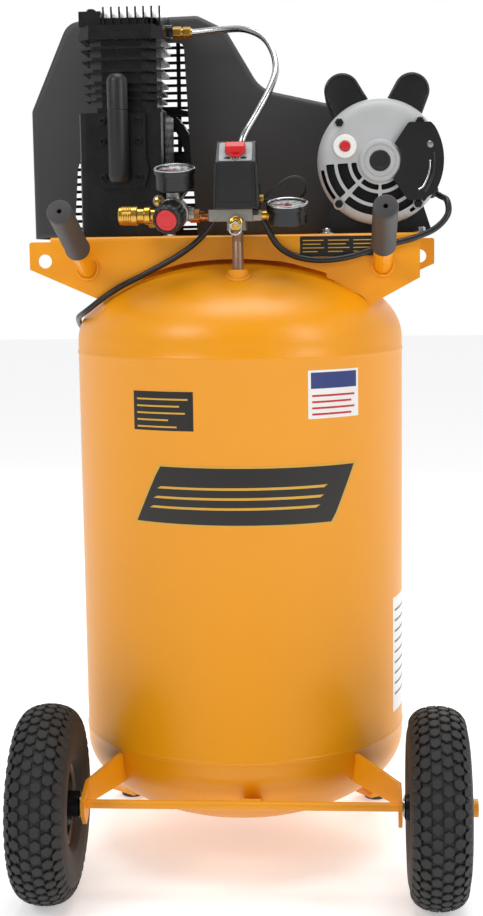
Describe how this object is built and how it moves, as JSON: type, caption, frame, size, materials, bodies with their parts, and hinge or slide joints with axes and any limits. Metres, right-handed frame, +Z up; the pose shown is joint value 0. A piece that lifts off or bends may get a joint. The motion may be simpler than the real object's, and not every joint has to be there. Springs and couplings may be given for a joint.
{
  "type": "portable air compressor",
  "caption": "Vertical-tank portable air compressor with a belt-driven piston pump, electric motor, belt guard, pressure controls, two wheels and handles.",
  "frame": {"origin": "on the floor, under the middle of the bounding box of everything but the power cord, its coil and its plug", "axes": "+Z up, -Y towards the handles and wheels (the front), +X towards the motor (the right seen from the front)"},
  "size_m": [0.6226, 0.6158, 1.1859],
  "materials": {
    "tank_paint": "semi-gloss yellow powder coat",
    "brass": "machined brass, slightly dull",
    "grip_rubber": "matte moulded rubber",
    "tyre": "matte black tyre rubber",
    "rim_paint": "satin black paint",
    "foot_rubber": "matte rubber",
    "pump_iron": "satin black paint over cast iron",
    "black_plastic": "fine-grained black plastic",
    "head_casting": "satin black paint over cast aluminium",
    "shaft_steel": "ground steel",
    "rod_casting": "bare casting",
    "belt_rubber": "ribbed black belt rubber",
    "guard_plastic": "satin black plastic",
    "grille_steel": "black coated steel",
    "motor_paint": "satin black paint",
    "bell_casting": "light grey painted casting",
    "rotor_steel": "bare steel",
    "pulley_casting": "bare grey iron",
    "cover_paint": "gloss black paint",
    "red_plastic": "red moulded plastic",
    "pipe_steel": "dull plated pipe",
    "zinc_casting": "grey die casting",
    "knob_plastic": "ribbed black plastic",
    "wire_steel": "plated wire",
    "gauge_black": "black case with a plated bezel",
    "needle_red": "red pointer",
    "tube_metal": "bright drawn tube",
    "tube_plastic": "black nylon line",
    "cord_jacket": "matte black jacket",
    "plug_plastic": "moulded plug"
  },
  "bodies": {
    "frame": {"tank_shell": "tank_paint", "drain_valve_body": "brass", "platform": "tank_paint", "left_handle_tube": "tank_paint", "right_handle_tube": "tank_paint", "left_grip": "grip_rubber", "right_grip": "grip_rubber", "axle_frame": "tank_paint", "left_rear_leg": "tank_paint", "right_rear_leg": "tank_paint", "left_rear_foot": "foot_rubber", "right_rear_foot": "foot_rubber", "crankcase": "pump_iron", "crankcase_cover": "pump_iron", "breather_tube": "black_plastic", "cylinder": "pump_iron", "valve_plate": "pump_iron", "cylinder_head": "head_casting", "drive_belt": "belt_rubber", "guard_shell": "guard_plastic", "rear_grille": "grille_steel", "motor_shell": "motor_paint", "motor_front_bell": "bell_casting", "left_capacitor_cover": "black_plastic", "right_capacitor_cover": "black_plastic", "terminal_cover": "cover_paint", "motor_base": "motor_paint", "riser_pipe": "pipe_steel", "manifold": "zinc_casting", "switch_body": "black_plastic", "regulator_body": "zinc_casting", "safety_valve": "brass", "coupler_body": "brass", "left_gauge": "gauge_black", "right_gauge": "gauge_black", "check_valve": "brass", "discharge_tube": "tube_metal", "unloader_tube": "tube_plastic", "motor_lead": "cord_jacket", "power_cord": "cord_jacket", "cord_coil": "cord_jacket", "plug": "plug_plastic"},
    "drain_knob": {"drain_valve_knob": "brass"},
    "left_wheel": {"left_tyre": "tyre", "left_rim": "rim_paint"},
    "right_wheel": {"right_tyre": "tyre", "right_rim": "rim_paint"},
    "crank": {"crankshaft": "shaft_steel", "flywheel": "pump_iron"},
    "piston": {"piston": "rod_casting"},
    "rod": {"connecting_rod": "rod_casting"},
    "rotor": {"motor_rotor": "rotor_steel", "motor_pulley": "pulley_casting"},
    "reset_button": {"reset_button": "red_plastic"},
    "switch_knob": {"switch_knob": "red_plastic"},
    "regulator_knob": {"regulator_knob": "knob_plastic"},
    "safety_ring": {"safety_valve_ring": "wire_steel"},
    "sleeve": {"coupler_sleeve": "brass"},
    "left_needle": {"left_gauge_needle": "needle_red"},
    "right_needle": {"right_gauge_needle": "needle_red"}
  },
  "joints": [
    {"name": "crank_spin", "type": "hinge", "parent": "frame", "child": "crank", "pos_m": [-0.16125, 0.0781, 0.986], "axis": [0, 1, 0], "continuous": true},
    {"name": "motor_spin", "type": "hinge", "parent": "frame", "child": "rotor", "pos_m": [0.18975, 0.0781, 0.967], "axis": [0, 1, 0], "continuous": true},
    {"name": "piston_slide", "type": "slide", "parent": "frame", "child": "piston", "axis": [0, 0, 1], "range_m": [-0.038, 0]},
    {"name": "rod_swing", "type": "hinge", "parent": "piston", "child": "rod", "pos_m": [-0.16125, 0.0781, 1.108], "axis": [0, 1, 0], "range_deg": [-12, 12]},
    {"name": "left_wheel_spin", "type": "hinge", "parent": "frame", "child": "left_wheel", "pos_m": [-0.25075, -0.1769, 0.131], "axis": [1, 0, 0], "continuous": true},
    {"name": "right_wheel_spin", "type": "hinge", "parent": "frame", "child": "right_wheel", "pos_m": [0.25925, -0.1769, 0.131], "axis": [1, 0, 0], "continuous": true},
    {"name": "regulator_turn", "type": "hinge", "parent": "frame", "child": "regulator_knob", "pos_m": [-0.08025, -0.0719, 0.9025], "axis": [-0.1661, -0.9418, -0.2924], "range_deg": [-540, 540]},
    {"name": "switch_turn", "type": "hinge", "parent": "frame", "child": "switch_knob", "pos_m": [0.00175, -0.0823, 0.9779], "axis": [0, -0.7863, 0.6178], "range_deg": [0, 60]},
    {"name": "reset_press", "type": "slide", "parent": "frame", "child": "reset_button", "axis": [0, 1, 0], "range_m": [0, 0.003], "stiffness_N_per_m": 600},
    {"name": "safety_pull", "type": "slide", "parent": "frame", "child": "safety_ring", "axis": [0, -1, 0], "range_m": [0, 0.004], "stiffness_N_per_m": 800},
    {"name": "sleeve_slide", "type": "slide", "parent": "frame", "child": "sleeve", "axis": [1, 0, 0], "range_m": [0, 0.005], "stiffness_N_per_m": 500},
    {"name": "drain_turn", "type": "hinge", "parent": "frame", "child": "drain_knob", "pos_m": [-0.00725, 0.0781, 0.035], "axis": [0, 0, 1], "range_deg": [0, 360]},
    {"name": "left_needle_turn", "type": "hinge", "parent": "frame", "child": "left_needle", "pos_m": [-0.07825, -0.08714, 0.95963], "axis": [0, -0.2419, 0.9703], "range_deg": [-270, 0], "stiffness_Nm_per_rad": 0.0005},
    {"name": "right_needle_turn", "type": "hinge", "parent": "frame", "child": "right_needle", "pos_m": [0.06775, -0.0719, 0.913], "axis": [0, -0.2756, 0.9613], "range_deg": [-270, 0], "stiffness_Nm_per_rad": 0.0005}
  ],
  "couplings": [
    {"joint": "motor_spin", "follows": "crank_spin", "ratio": 2.7241}
  ]
}
